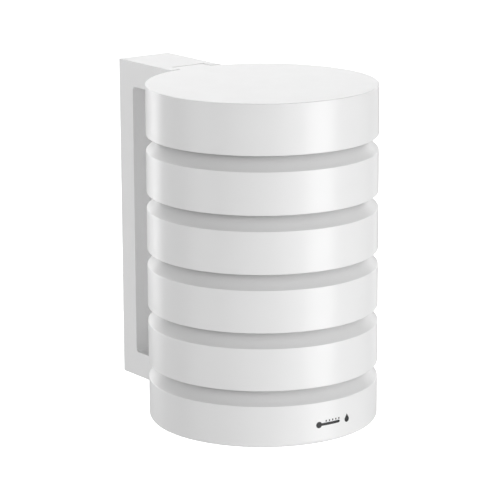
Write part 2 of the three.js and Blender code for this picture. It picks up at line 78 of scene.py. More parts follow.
STACK_Y = (low("louvre_1").y + high("louvre_1").y) / 2
RADIUS = high("louvre_1").x
RING_FEET = {name: low(name).z for name in ("louvre_1", "louvre_2", "louvre_3", "louvre_4")}
BASE_FOOT = low("base_ring").z
CAP_TOP = high("top_cap").z
PITCH = RING_FEET["louvre_1"] - RING_FEET["louvre_2"]
CAP_FOOT = RING_FEET["louvre_1"] + PITCH
HEIGHT = CAP_TOP - BASE_FOOT
AXIS_OUT = -STACK_Y
BRACKET_FOOT = low("wall_bracket").z - BASE_FOOT
BRACKET_TOP = high("wall_bracket").z - BASE_FOOT
BRACKET_MIDDLE = (BRACKET_FOOT + BRACKET_TOP) / 2
BRACKET_HALF = high("wall_bracket").x
MODULE_FOOT = low("module_foot_cap").z - BASE_FOOT
MODULE_TOP = high("module_head_cap").z - BASE_FOOT
MODULE_RADIUS = high("module_shell").x

# ---- Sizes of the design, in millimetres ----

GAP = 0.3
WALL = 2.0
SLOPE_RISE = 0.95
SKIN_DROP = WALL * math.hypot(1, SLOPE_RISE)
INNER_RADIUS = 34.0
BAND = 18.3
SLOPE_TOP = BAND + (RADIUS - INNER_RADIUS) * SLOPE_RISE
SHOULDER_ROUND = 0.5
CRISP = 0.3
CAP_EDGE_ROUND = 0.35
POST_CIRCLE = 39.0
POST_RADIUS = 3.5
POST_TOP = 32.0
POST_FOOT = POST_TOP - PITCH + GAP
POST_ANGLES = (30, 150, 270)
SCREW_RADIUS = 1.5
SCREW_HOLE = SCREW_RADIUS + GAP
SCREW_HEAD = 2.9
SCREW_HEAD_FOOT = 0.8
SCREW_HEAD_HEIGHT = 2.4
SCREW_TIP_DEPTH = 6.0  # from the cap's top down to the tie screws' tips
ROOF = 3.0
HOOK_WIDTH = 16.6
HOOK_REACH = 55.3
HOOK_SLAB = 3.0
HOOK_DROP = 5.5
HOOK_LEG = 2.7
ARM_HEIGHT = 11.4
BACK_DEPTH = 10.6
BRACKET_SKIN = 2.4
ARM_END = RADIUS + GAP
ARM_END_WALL = 2.0
WINDOW_ROUND = 1.6
WALL_SCREW_HEIGHTS = (BRACKET_MIDDLE - 40, BRACKET_MIDDLE + 40)
WALL_BOSS = 5.4
WALL_SCREW_HOLE = 2.4
WALL_SCREW_SEAT = 4.4
PLATE_THICK = 2.4
PLATE_SCREW_HEIGHTS = (BRACKET_MIDDLE - 56, BRACKET_MIDDLE + 56)
PLATE_BOSS = 3.4
PLATE_SCREW = 1.3
PLATE_HEAD = 2.4
SOCKET_RADIUS = 23.4
SOCKET_DROP = 6.5  # how far the socket reaches down past the module's top
MODULE_SKIN = 1.2
MODULE_SCREW_PLACES = ((-14, -6), (14, -6))
END_CAP = 5.7
END_PLATE = 2.4
SPIGOT = 4.3
LAMP_Y = -14.0
LAMP_HOLE = 1.8
FLOOR = 3.0
FLOOR_HOLE = 32.0
FLANGE_RECESS = 35.0
FLANGE_RECESS_TOP = 1.6
DRAIN_INNER = 38.5
DRAIN_OUTER = 44.5
DRAIN_DEGREES = 20
COVER_RADIUS = FLOOR_HOLE - 0.4
COVER_FLANGE = FLANGE_RECESS - 0.4
COVER_FOOT = 0.5
COVER_FLOOR_FOOT = 2.2
COVER_FLOOR_TOP = 4.4
COVER_RIM_TOP = 8.0
CUP_RADIUS = 23.0
SEAT_HOLE = 15.0
SEGMENTS = 192
SHARP_ANGLE = 30  # degrees between faces past which an edge is shaded as a crease

# ---- Building blocks ----


def rounded(corners, steps=6):
    """A closed outline from (x, y, radius) corners, with an arc at each corner that has a radius."""
    points = []
    for i, (x, y, radius) in enumerate(corners):
        here = Vector((x, y))
        if radius == 0:
            points.append(here)
            continue
        back = (Vector(corners[i - 1][:2]) - here).normalized()
        on = (Vector(corners[(i + 1) % len(corners)][:2]) - here).normalized()
        half = back.angle(on) / 2
        centre = here + (back + on).normalized() * radius / math.sin(half)
        spoke = here + back * radius / math.tan(half) - centre
        end_spoke = here + on * radius / math.tan(half) - centre
        turn = -spoke.angle_signed(end_spoke)
        for step in range(steps + 1):
            points.append(centre + Matrix.Rotation(turn * step / steps, 2) @ spoke)
    return [tuple(p) for p in points]


def bevelled(bm, edges, width, segments=3, clamp=False):
    bmesh.ops.bevel(bm, geom=edges, offset=width, segments=segments, profile=0.5, affect="EDGES",
                    clamp_overlap=clamp)


def mesh_object(name, bm):
    """An object made of a bmesh, which is used up."""
    bmesh.ops.recalc_face_normals(bm, faces=bm.faces)
    mesh = bpy.data.meshes.new(name)
    bm.to_mesh(mesh)
    bm.free()
    obj = bpy.data.objects.new(name, mesh)
    bpy.context.scene.collection.objects.link(obj)
    return obj


def revolved(name, outline, segments=SEGMENTS):
    """A body turned about Z from a closed outline of (radius, height) points, some maybe on Z."""
    bm = bmesh.new()
    angles = [2 * math.pi * k / segments for k in range(segments)]
    rings = []
    for r, z in outline:
        if r < 1e-6:
            rings.append([bm.verts.new((0, 0, z))])
        else:
            rings.append([bm.verts.new((r * math.cos(a), r * math.sin(a), z)) for a in angles])
    for near, far in zip(rings, rings[1:] + rings[:1]):
        if len(near) == 1 and len(far) == 1:
            continue
        for j in range(segments):
            k = (j + 1) % segments
            corners = (near[j % len(near)], near[k % len(near)], far[k % len(far)], far[j % len(far)])
            bm.faces.new(list(dict.fromkeys(corners)))
    return mesh_object(name, bm)


def moved(obj, x=0.0, y=0.0, z=0.0):
    obj.data.transform(Matrix.Translation((x, y, z)))
    return obj


def around(obj, degrees):
    """Turned about the stack's axis."""
    obj.data.transform(Matrix.Rotation(math.radians(degrees), 4, "Z"))
    return obj


def prism(name, outline, start, end, axis="Z", edge=0.0):
    """An outline drawn along an axis between two places, with its two end rims rounded by edge."""
    bm = bmesh.new()
    verts = [bm.verts.new((u, v, start)) for u, v in outline]
    face = bm.faces.new(verts)
    made = bmesh.ops.extrude_face_region(bm, geom=[face])
    top = [g for g in made["geom"] if isinstance(g, bmesh.types.BMVert)]
    bmesh.ops.translate(bm, verts=top, vec=(0, 0, end - start))
    if edge > 0:
        rims = [e for e in bm.edges if abs(e.verts[0].co.z - e.verts[1].co.z) < 1e-6]
        bevelled(bm, rims, edge)
    if axis == "X":
        bm.transform(Matrix(((0, 0, 1, 0), (1, 0, 0, 0), (0, 1, 0, 0), (0, 0, 0, 1))))
    if axis == "Y":
        bm.transform(Matrix(((1, 0, 0, 0), (0, 0, 1, 0), (0, 1, 0, 0), (0, 0, 0, 1))))
    return mesh_object(name, bm)


def block(name, low_corner, high_corner, edge=0.0, segments=3):
    """A box between two corners with its edges rounded."""
    bm = bmesh.new()
    bmesh.ops.create_cube(bm, size=1)
    size = [h - l for l, h in zip(low_corner, high_corner)]
    centre = [(h + l) / 2 for l, h in zip(low_corner, high_corner)]
    bm.transform(Matrix.Translation(centre) @ Matrix.Diagonal((*size, 1)))
    if edge > 0:
        bevelled(bm, bm.edges[:], edge, segments)
    return mesh_object(name, bm)


def rod(name, radius, start, end, x=0.0, y=0.0, axis="Z", edge=0.0, segments=48):
    """A round bar along Z at x and y, or along Y, where y is its height."""
    rims = [(0, start, 0), (radius, start, edge), (radius, end, edge), (0, end, 0)]
    obj = revolved(name, rounded(rims, 4), segments)
    if axis == "Y":
        obj.data.transform(Matrix(((1, 0, 0, 0), (0, 0, 1, 0), (0, -1, 0, 0), (0, 0, 0, 1))))
        return moved(obj, x, 0, y)
    return moved(obj, x, y, 0)


def applied(obj):
    """Turns what the modifiers make into the piece's own mesh."""
    bpy.context.view_layer.update()
    depsgraph = bpy.context.evaluated_depsgraph_get()
    mesh = bpy.data.meshes.new_from_object(obj.evaluated_get(depsgraph))
    obj.modifiers.clear()
    obj.data = mesh
    return obj


def with_booleans(obj, others, operation):
    """Joins or cuts obj with the others, which are used up."""
    for other in others:
        modifier = obj.modifiers.new(other.name, "BOOLEAN")
        modifier.operation = operation
        modifier.object = other
        modifier.solver = "MANIFOLD"
    applied(obj)
    for other in others:
        bpy.data.objects.remove(other)
    return obj


def joined(obj, others):
    return with_booleans(obj, others, "UNION")


def cut(obj, others):
    return with_booleans(obj, others, "DIFFERENCE")


def sector(inner, outer, degrees, corner):
    """A stretch of a ring, centred on X, with rounded ends."""
    half = math.radians(degrees / 2)
    outside = [half * (k / 6 - 1) for k in range(1, 12)]
    corners = [(outer * math.cos(-half), outer * math.sin(-half), corner)]
    corners += [(outer * math.cos(a), outer * math.sin(a), 0) for a in outside]
    corners += [(outer * math.cos(half), outer * math.sin(half), corner)]
    corners += [(inner * math.cos(half), inner * math.sin(half), corner)]
    corners += [(inner * math.cos(a), inner * math.sin(a), 0) for a in reversed(outside)]
    corners += [(inner * math.cos(-half), inner * math.sin(-half), corner)]
    return rounded(corners, 4)


def post_places():
    for degrees in POST_ANGLES:
        a = math.radians(degrees)
        yield POST_CIRCLE * math.cos(a), POST_CIRCLE * math.sin(a)


def posts(foot, top):
    return [rod("post", POST_RADIUS, foot, top, x, y) for x, y in post_places()]


def screw_holes(foot, top):
    return [rod("hole", SCREW_HOLE, foot, top, x, y, segments=24) for x, y in post_places()]


# ---- Materials ----


def node_material(name):
    material = bpy.data.materials.new(name)
    material.use_nodes = True
    tree = material.node_tree
    return material, tree, tree.nodes["Principled BSDF"]


def link(tree, out, into):
    tree.links.new(out, into)


def noise(tree, coordinates, scale, detail):
    node = tree.nodes.new("ShaderNodeTexNoise")
    node.inputs["Scale"].default_value = scale
    node.inputs["Detail"].default_value = detail
    node.inputs["Roughness"].default_value = 0.55
    link(tree, coordinates, node.inputs["Vector"])
    return node.outputs["Fac"]


def ramp(tree, fac, stops):
    """A colour ramp from (position, colour) stops."""
    node = tree.nodes.new("ShaderNodeValToRGB")
    elements = node.color_ramp.elements
    while len(elements) < len(stops):
        elements.new(0.5)
    for element, (position, colour) in zip(elements, stops):
        element.position = position
        element.color = (*colour, 1)
    link(tree, fac, node.inputs["Fac"])
    return node.outputs["Color"]


def grey(value):
    return (value, value, value)


def tinted(colour, factor):
    return tuple(min(1.0, c * factor) for c in colour)


def moulded_plastic(name, colour, roughness, grain=0.02):
    """Moulded plastic: faint flow marks in its tone, uneven gloss and the fine grain of the mould."""
    material, tree, shader = node_material(name)
    coordinates = tree.nodes.new("ShaderNodeTexCoord").outputs["Object"]
    tone = noise(tree, coordinates, 28.0, 3.0)
    link(tree, ramp(tree, tone, [(0.3, tinted(colour, 0.985)), (0.7, tinted(colour, 1.01))]),
         shader.inputs["Base Color"])
    gloss = noise(tree, coordinates, 160.0, 5.0)
    link(tree, ramp(tree, gloss, [(0.3, grey(roughness * 0.92)), (0.7, grey(roughness * 1.1))]),
         shader.inputs["Roughness"])
    bump = tree.nodes.new("ShaderNodeBump")
    bump.inputs["Strength"].default_value = grain
    bump.inputs["Distance"].default_value = 0.1 * MM
    link(tree, noise(tree, coordinates, 2600.0, 2.0), bump.inputs["Height"])
    link(tree, bump.outputs["Normal"], shader.inputs["Normal"])
    shader.inputs["IOR"].default_value = 1.5
    return material


def worked_metal(name, colour, roughness, stretch=(1, 1, 1)):
    """Metal with fine lines along the direction that stretch shortens."""
    material, tree, shader = node_material(name)
    coordinates = tree.nodes.new("ShaderNodeTexCoord").outputs["Object"]
    mapping = tree.nodes.new("ShaderNodeMapping")
    mapping.inputs["Scale"].default_value = stretch
    link(tree, coordinates, mapping.inputs["Vector"])
    lines = noise(tree, mapping.outputs["Vector"], 900.0, 3.0)
    link(tree, ramp(tree, lines, [(0.3, tinted(colour, 0.93)), (0.7, tinted(colour, 1.05))]),
         shader.inputs["Base Color"])
    link(tree, ramp(tree, lines, [(0.3, grey(roughness * 0.8)), (0.7, grey(roughness * 1.25))]),
         shader.inputs["Roughness"])
    bump = tree.nodes.new("ShaderNodeBump")
    bump.inputs["Strength"].default_value = 0.08
    bump.inputs["Distance"].default_value = 0.05 * MM
    link(tree, lines, bump.inputs["Height"])
    link(tree, bump.outputs["Normal"], shader.inputs["Normal"])
    shader.inputs["Metallic"].default_value = 1.0
    return material


MATERIALS = {
    "shield_white": moulded_plastic("shield_white", (0.80, 0.80, 0.80), 0.3, grain=0.004),
    "bracket_white": moulded_plastic("bracket_white", (0.83, 0.83, 0.83), 0.34, grain=0.01),
    "inner_grey": moulded_plastic("inner_grey", (0.42, 0.43, 0.44), 0.5, grain=0.08),
    "rubber_black": moulded_plastic("rubber_black", (0.018, 0.018, 0.018), 0.8, grain=0.2),
    "board_green": moulded_plastic("board_green", (0.015, 0.13, 0.05), 0.35),
    "chip_black": moulded_plastic("chip_black", (0.02, 0.02, 0.022), 0.45, grain=0.1),
    "filter_white": moulded_plastic("filter_white", (0.8, 0.8, 0.77), 0.95, grain=0.4),
    "lamp_green": moulded_plastic("lamp_green", (0.45, 0.75, 0.5), 0.12),
    "cell_blue": moulded_plastic("cell_blue", (0.03, 0.09, 0.28), 0.3),
    "shell_aluminium": worked_metal("shell_aluminium", (0.66, 0.67, 0.68), 0.3, (1, 1, 30)),
    "steel": worked_metal("steel", (0.58, 0.59, 0.6), 0.28),
    "print_black": moulded_plastic("print_black", (0.012, 0.012, 0.013), 0.5),
    "gilt": worked_metal("gilt", (0.78, 0.55, 0.24), 0.3),
    "solder": worked_metal("solder", (0.5, 0.5, 0.5), 0.4),
}


def dressed(obj, body, slot, replaces=(), material=None, foot=BASE_FOOT):
    """Takes a piece from the stack's axis to its place, shades it and makes it ride on its body."""
    moved(obj, 0, STACK_Y, foot)
    obj.data.transform(Matrix.Scale(MM, 4))
    for polygon in obj.data.polygons:
        polygon.use_smooth = True
    obj.data.set_sharp_from_angle(angle=math.radians(SHARP_ANGLE))
    obj.modifiers.new("normals", "WEIGHTED_NORMAL").keep_sharp = True
    applied(obj)
    obj.data.materials.clear()
    obj.data.materials.append(MATERIALS[material or slot])
    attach(obj, body)
    if replaces:
        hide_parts(*replaces)
    return obj


# ---- Rings of the shield ----


def ring_corners(foot_corners, inside_foot, inside_round):
    """A ring's outline: foot, shoulder, slope, its inner lip, and back down inside the band."""
    inside = RADIUS - WALL
    return [
        *foot_corners,
        (RADIUS, BAND, SHOULDER_ROUND),
        (INNER_RADIUS, SLOPE_TOP, 0.25),
        (INNER_RADIUS, SLOPE_TOP - SKIN_DROP, 0.4),
        (inside, BAND + WALL * SLOPE_RISE - SKIN_DROP, 1.2),
        (inside, inside_foot, inside_round),
    ]


def hook(slab_foot):
    """A slab that reaches back over the bracket's arm, with a leg that drops into its pocket."""
    half = HOOK_WIDTH / 2
    root = RADIUS - 2.2
    outline = rounded([
        (root, slab_foot, 0),
        (HOOK_REACH - HOOK_LEG, slab_foot, 0.4),
        (HOOK_REACH - HOOK_LEG, slab_foot - HOOK_DROP, 0.5),
        (HOOK_REACH, slab_foot - HOOK_DROP, 0.9),
        (HOOK_REACH, slab_foot + HOOK_SLAB, 0.3),
        (root, slab_foot + HOOK_SLAB, 0),
    ])
    return prism("hook", outline, -half, half, axis="X", edge=0.15)


def louvre(name):
    obj = revolved(name + "_ring", rounded(ring_corners([(RADIUS, 0, CRISP)], 0, CRISP), 8))
    joined(obj, posts(POST_FOOT, POST_TOP))
    cut(obj, screw_holes(0, POST_TOP + 1))
    return dressed(obj, "shield", "shield_white", [name], foot=RING_FEET[name])


def top_cap():
    """The closed top ring, with the socket that steadies the module's head."""
    inside = RADIUS - WALL
    height = CAP_TOP - CAP_FOOT
    outline = rounded([
        (0, height, 0),
        (0, height - ROOF, 0),
        (inside, height - ROOF, 1.5),
        (inside, 0, CRISP),
        (RADIUS, 0, CRISP),
        (RADIUS, height, CAP_EDGE_ROUND),
    ], 8)
    obj = revolved("cap_shell", outline)
    module_top = MODULE_TOP + BASE_FOOT - CAP_FOOT
    socket_foot = module_top - SOCKET_DROP
    socket = revolved("socket", rounded([
        (SOCKET_RADIUS, socket_foot, 0.5),
        (SOCKET_RADIUS + WALL, socket_foot, 0.5),
        (SOCKET_RADIUS + WALL, height - ROOF + 1, 0),
        (SOCKET_RADIUS, height - ROOF + 1, 0),
    ]), 96)
    low_corner = (20, -6, module_top + 3)
    high_corner = (30, 6, height - ROOF - 3)
    windows = [around(block("window", low_corner, high_corner, 0.8), 60 * i) for i in range(6)]
    cut(socket, windows)
    joined(obj, [socket, *posts(POST_FOOT, height - ROOF + 1), hook(height - HOOK_SLAB)])
    cut(obj, screw_holes(0, height - SCREW_TIP_DEPTH + GAP))
    return dressed(obj, "shield", "shield_white", ["top_cap"], foot=CAP_FOOT)


def base_ring():
    """The lowest ring: its floor has a recess for the base cover, drains and screw head pockets."""
    outline = rounded([
        (FLOOR_HOLE, FLANGE_RECESS_TOP, 0.2),
        (FLANGE_RECESS, FLANGE_RECESS_TOP, 0.2),
        (FLANGE_RECESS, 0, 0.2),
        *ring_corners([(RADIUS, 0, 2)], FLOOR, 1),
        (FLOOR_HOLE, FLOOR, 0.3),
    ], 8)
    obj = revolved("base_ring_shell", outline)
    joined(obj, [*posts(1, POST_TOP), hook(BRACKET_FOOT + ARM_HEIGHT + GAP)])
    pocket_top = SCREW_HEAD_FOOT + SCREW_HEAD_HEIGHT + GAP
    pockets = [rod("pocket", SCREW_HEAD + GAP, -1, pocket_top, x, y) for x, y in post_places()]
    drain = sector(DRAIN_INNER, DRAIN_OUTER, DRAIN_DEGREES, 1.0)
    drains = [around(prism("drain", drain, -1, FLOOR + 1), 60 * i) for i in range(6)]
    cut(obj, [*screw_holes(0, POST_TOP + 1), *pockets, *drains])
    return dressed(obj, "shield", "shield_white", ["base_ring"])


for ring_name in RING_FEET:
    louvre(ring_name)
top_cap()
base_ring()

# ---- A printed mark of a thermometer and a drop on the front of the base ring ----

MARK_LOW = 7.1
MARK_HEIGHT = 3.1
MARK_THICK = 0.04


def disc_outline(x, z, radius, start=0, turn=360, steps=32):
    angles = [math.radians(start + turn * k / steps) for k in range(steps + (turn < 360))]
    return [(x + radius * math.cos(a), z + radius * math.sin(a)) for a in angles]


def printed_mark():
    """Each outline, flat in millimetres across and up, is laid round the ring as a thin skin of ink."""
    bulb = 1.4
    tube = 0.6
    meet = math.degrees(math.asin(tube / bulb))
    bulb_end = disc_outline(-7.6, bulb, bulb, meet, 360 - 2 * meet)
    thermometer = bulb_end + disc_outline(2.6, bulb, tube, -90, 180, 12)
    drop = disc_outline(7.4, 1.3, 1.3, -212, 244) + [(7.4, MARK_HEIGHT + 0.6)]
    tick_foot = bulb + tube + 0.35
    ticks = [[(x, tick_foot), (x + 0.6, tick_foot), (x + 0.6, MARK_HEIGHT), (x, MARK_HEIGHT)]
             for x in (-4.4, -2.7, -1.0, 0.7, 2.4)]
    bm = bmesh.new()
    for outline in (thermometer, drop, *ticks):
        face = bm.faces.new([bm.verts.new((x, 0, z)) for x, z in outline])
        made = bmesh.ops.extrude_face_region(bm, geom=[face])
        front = [g for g in made["geom"] if isinstance(g, bmesh.types.BMVert)]
        bmesh.ops.translate(bm, verts=front, vec=(0, -MARK_THICK, 0))
    for step in range(-20, 21):  # upright strips, so that the skin can bend with the ring
        geom = bm.verts[:] + bm.edges[:] + bm.faces[:]
        bmesh.ops.bisect_plane(bm, geom=geom, plane_co=(step * 0.5 + 0.13, 0, 0), plane_no=(1, 0, 0))
    for vert in bm.verts:
        angle = vert.co.x / RADIUS
        out = RADIUS + 0.005 - vert.co.y
        vert.co = (out * math.sin(angle), -out * math.cos(angle), vert.co.z + MARK_LOW)
    return dressed(mesh_object("printed_mark", bm), "shield", "chip_black", material="print_black")


printed_mark()

# ---- Wall bracket ----


def rounded_off(obj, width):
    """Rounds every edge where a piece's faces meet at more than 40 degrees."""
    modifier = obj.modifiers.new("edges", "BEVEL")
    modifier.width = width
    modifier.segments = 3
    modifier.limit_method = "ANGLE"
    modifier.angle_limit = math.radians(40)
    modifier.miter_outer = "MITER_ARC"
    return applied(obj)


def wall_bracket():
    """A hollow C, open at its back, whose arms wrap round the stack and take its hooks."""
    front = 40  # from the stack's axis, inside the hollow that is cut for the stack
    window_back = AXIS_OUT - BACK_DEPTH
    low_arm_top = BRACKET_FOOT + ARM_HEIGHT
    high_arm_foot = BRACKET_TOP - ARM_HEIGHT
    in_half = BRACKET_HALF - BRACKET_SKIN
    low_corner = (-BRACKET_HALF, front, BRACKET_FOOT)
    obj = block("bracket_shell", low_corner, (BRACKET_HALF, AXIS_OUT, BRACKET_TOP))
    outline = rounded([
        (20, low_arm_top, 0),
        (window_back, low_arm_top, WINDOW_ROUND),
        (window_back, high_arm_foot, WINDOW_ROUND),
        (20, high_arm_foot, 0),
    ])
    window = prism("window", outline, -20, 20, axis="X")

    def pocket(foot, top):
        half = HOOK_WIDTH / 2 + GAP
        return block("pocket", (-half, front, foot), (half, HOOK_REACH + GAP, top))

    def end_wall():
        return rod("end_wall", ARM_END + ARM_END_WALL, -5, BRACKET_TOP + 5, segments=SEGMENTS)

    base_pocket = pocket(low_arm_top - BRACKET_SKIN - 0.1, low_arm_top + 1)
    cut(base_pocket, [end_wall()])
    high_pocket = pocket(HEIGHT - HOOK_SLAB - GAP, BRACKET_TOP + 1)
    stack = rod("stack", ARM_END, -5, BRACKET_TOP + 5, segments=SEGMENTS)
    cut(obj, [window, stack, base_pocket])
    rounded_off(obj, 0.3)
    cut(obj, [high_pocket])  # after the rounding, so that the seam round the upper hook stays crisp

    def hollow(start, foot, top):
        return block("hollow", (-in_half, start, foot), (in_half, AXIS_OUT + 1, top))

    space_foot = BRACKET_FOOT + BRACKET_SKIN
    space_top = BRACKET_TOP - BRACKET_SKIN
    space = hollow(front, space_foot, low_arm_top - BRACKET_SKIN)
    high_space = hollow(front, high_arm_foot + BRACKET_SKIN, space_top)
    back_space = hollow(window_back + BRACKET_SKIN, space_foot, space_top)
    joined(space, [high_space, back_space])
    cut(space, [end_wall()])
    cut(obj, [space])

    def rods(heights, radius, start, end, edge=0.0):
        return [rod("rod", radius, start, end, 0, z, axis="Y", edge=edge) for z in heights]

    plate_boss_end = AXIS_OUT - PLATE_THICK - GAP
    joined(obj, rods(WALL_SCREW_HEIGHTS, WALL_BOSS, window_back + 1, AXIS_OUT))
    joined(obj, rods(PLATE_SCREW_HEIGHTS, PLATE_BOSS, window_back + 1, plate_boss_end))
    cut(obj, rods(WALL_SCREW_HEIGHTS, WALL_SCREW_HOLE, window_back - 1, AXIS_OUT + 1))
    cut(obj, rods(WALL_SCREW_HEIGHTS, WALL_SCREW_SEAT, window_back - 1, window_back + 2, edge=0.3))
    cut(obj, rods(PLATE_SCREW_HEIGHTS, PLATE_SCREW + GAP, window_back + 4, AXIS_OUT))
    return dressed(obj, "bracket", "bracket_white", ["wall_bracket"])


wall_bracket()

# ---- Base cover ----


def base_cover():
    """One turned shell: flange, rim, vented floor, the cup that holds the module, and a bar to grip."""
    inner = COVER_RADIUS - WALL
    cup_top = MODULE_FOOT + 4
    shelf_top = MODULE_FOOT - 2
    outline = rounded([
        (0, COVER_FLOOR_FOOT, 0),
        (inner, COVER_FLOOR_FOOT, 0.5),
        (inner, COVER_FOOT, 0.3),
        (COVER_FLANGE, COVER_FOOT, 0.35),
        (COVER_FLANGE, FLANGE_RECESS_TOP - GAP, 0.2),
        (COVER_RADIUS, FLANGE_RECESS_TOP - GAP, 0.2),
        (COVER_RADIUS, COVER_RIM_TOP, 0.5),
        (inner, COVER_RIM_TOP, 0.5),
        (inner, COVER_FLOOR_TOP, 0.5),
        (CUP_RADIUS + WALL, COVER_FLOOR_TOP, 0.5),
        (CUP_RADIUS + WALL, cup_top, 0.6),
        (CUP_RADIUS, cup_top, 0.8),
        (CUP_RADIUS, shelf_top, 0.2),
        (SEAT_HOLE, shelf_top, 0.3),
        (SEAT_HOLE, shelf_top - WALL, 0.5),
        (CUP_RADIUS, shelf_top - WALL, 0.5),
        (CUP_RADIUS, COVER_FLOOR_TOP, 0.5),
        (0, COVER_FLOOR_TOP, 0),
    ])
    obj = revolved("base_cover_shell", outline)
    grip_end = (inner + 1, 3, COVER_FLOOR_FOOT + 0.5)
    grip = block("grip", (-inner - 1, -3, COVER_FOOT + 0.1), grip_end, 0.7)
    joined(obj, [grip])
    slot = rounded([(9, -1.1, 1), (19.5, -1.1, 1), (19.5, 1.1, 1), (9, 1.1, 1)])
    vents = [around(prism("vent", slot, 0, COVER_FLOOR_TOP + 1), 36 * (i + 0.5)) for i in range(10)]
    low_corner = (20, -5, COVER_FLOOR_TOP + 2)
    high_corner = (27, 5, shelf_top - WALL - 2)
    windows = [around(block("window", low_corner, high_corner, 0.8), 60 * i) for i in range(6)]
    cut(obj, [*vents, *windows])
    return dressed(obj, "sensor_tray", "shield_white", ["base_cover"])


base_cover()

# ---- Screws ----


def screw(name, head, shank, length, thread, pitch, recess):
    """A screw standing on its domed head.

    head is its (radius, height), thread its (start, end), and recess the depth of the cross in the head.
    """
    segments = 32
    head_radius, head_height = head
    thread_from, thread_to = thread
    depth = 0.16 * shank
    rows = [(r, z, 0) for r, z in rounded([
        (head_radius * 0.5, 0, 0),
        (head_radius, 0.25 * head_height, head_height * 0.35),
        (head_radius, head_height, 0.1),
        (shank - depth, head_height, 0.1),
    ], 4)]
    threaded = thread_to - thread_from
    steps = int(threaded / pitch * 6)
    for i in range(steps + 1):
        rows.append((shank - depth, thread_from + threaded * i / steps, depth if 0 < i < steps else 0))
    rows.append((shank * 0.4, length, 0))
    bm = bmesh.new()
    rings = []
    for r, z, rise in rows:
        ring = []
        for k in range(segments):
            turn = (z / pitch - k / segments) % 1
            reach = r + rise * (1 - abs(2 * turn - 1))
            angle = 2 * math.pi * k / segments
            ring.append(bm.verts.new((reach * math.cos(angle), reach * math.sin(angle), z)))
        rings.append(ring)
    for near, far in zip(rings, rings[1:]):
        for k in range(segments):
            on = (k + 1) % segments
            bm.faces.new((near[k], near[on], far[on], far[k]))
    bm.faces.new(rings[0][::-1])
    bm.faces.new(rings[-1])
    obj = mesh_object(name, bm)
    arm = head_radius * 0.62
    cross = [block("slot", (-arm, -0.13 * head_radius, -1), (arm, 0.13 * head_radius, recess)),
             block("slot", (-0.13 * head_radius, -arm, -1), (0.13 * head_radius, arm, recess))]
    return cut(obj, cross)


def towards_wall(obj):
    """Turns a screw so that its head, at its origin, faces the wall and its tip the shield's front."""
    obj.data.transform(Matrix(((1, 0, 0, 0), (0, 0, -1, 0), (0, 1, 0, 0), (0, 0, 0, 1))))
    return obj


for i, (x, y) in enumerate(post_places(), 1):
    length = HEIGHT - SCREW_TIP_DEPTH - SCREW_HEAD_FOOT
    head = (SCREW_HEAD, SCREW_HEAD_HEIGHT)
    thread = (length - 22, length - 1.2)
    tie_screw = screw(f"tie_screw_{i}_turned", head, SCREW_RADIUS, length, thread, 1.1, recess=1.1)
    moved(tie_screw, x, y, SCREW_HEAD_FOOT)
    dressed(tie_screw, "shield", "steel", [f"tie_screw_{i}"])

for i, z in enumerate(PLATE_SCREW_HEIGHTS, 1):
    name = f"plate_screw_{i}_turned"
    plate_screw = screw(name, (PLATE_HEAD, 1.2), PLATE_SCREW, 5.8, (1.4, 5.2), 0.8, 0.6)
    moved(towards_wall(plate_screw), 0, AXIS_OUT - 0.2, z)
    dressed(plate_screw, "bracket", "steel", [f"plate_screw_{i}"])

for i, (x, y) in enumerate(MODULE_SCREW_PLACES, 1):
    module_screw = screw(f"module_screw_{i}_turned", (1.9, 0.9), 0.9, 8.9, (1.2, 8.4), 0.6, 0.4)
    moved(module_screw, x, y, MODULE_FOOT + 0.1)
    dressed(module_screw, "sensor_tray", "steel", [f"module_screw_{i}"])

# ---- Sensor module ----


def module_shell():
    """A drawn aluminium tube with softened rims."""
    foot = low("module_shell").z - BASE_FOOT
    top = high("module_shell").z - BASE_FOOT
    inside = MODULE_RADIUS - MODULE_SKIN
    obj = revolved("module_shell_tube", rounded([
        (inside, foot, 0.3),
        (MODULE_RADIUS, foot, 0.5),
        (MODULE_RADIUS, top, 0.5),
        (inside, top, 0.3),
    ]), 128)
    return dressed(obj, "sensor_tray", "shell_aluminium", ["module_shell"])


def end_cap(name, rim, inner, spigot_end):
    """A plastic end with a hollow spigot; rim is its outer face's height, inner its shoulder's."""
    way = 1 if inner > rim else -1
    spigot = MODULE_RADIUS - MODULE_SKIN - GAP
    return revolved(name, rounded([
        (0, rim, 0),
        (MODULE_RADIUS, rim, 1.2),
        (MODULE_RADIUS, inner, 0.3),
        (spigot, inner, 0.2),
        (spigot, spigot_end, 0.4),
        (spigot - WALL, spigot_end, 0.4),
        (spigot - WALL, rim + way * END_PLATE, 0.8),
        (0, rim + way * END_PLATE, 0),
    ]), 128)


def module_foot_cap():
    inner = MODULE_FOOT + END_CAP
    obj = end_cap("module_foot_cap_turned", MODULE_FOOT, inner, inner + SPIGOT)
    slot = rounded([(-7, -0.6, 0.5), (7, -0.6, 0.5), (7, 0.6, 0.5), (-7, 0.6, 0.5)])
    vents = [moved(prism("vent", slot, MODULE_FOOT - 1, MODULE_FOOT + 4), y=y) for y in (-6, -3, 0, 3, 6)]
    holes = [rod("hole", 1.2, MODULE_FOOT - 1, MODULE_FOOT + 6, x, y) for x, y in MODULE_SCREW_PLACES]
    sinks = [rod("sink", 2.2, MODULE_FOOT - 1, MODULE_FOOT + 1.3, x, y) for x, y in MODULE_SCREW_PLACES]
    cut(obj, [*vents, *holes, *sinks])
    return dressed(obj, "sensor_tray", "inner_grey", ["module_foot_cap"])


def module_head_cap():
    inner = MODULE_TOP - END_CAP
    obj = end_cap("module_head_cap_turned", MODULE_TOP, inner, inner - SPIGOT)
    cut(obj, [rod("lamp_hole", LAMP_HOLE, MODULE_TOP - 5, MODULE_TOP + 1, 0, LAMP_Y)])
    return dressed(obj, "sensor_tray", "inner_grey", ["module_head_cap"])


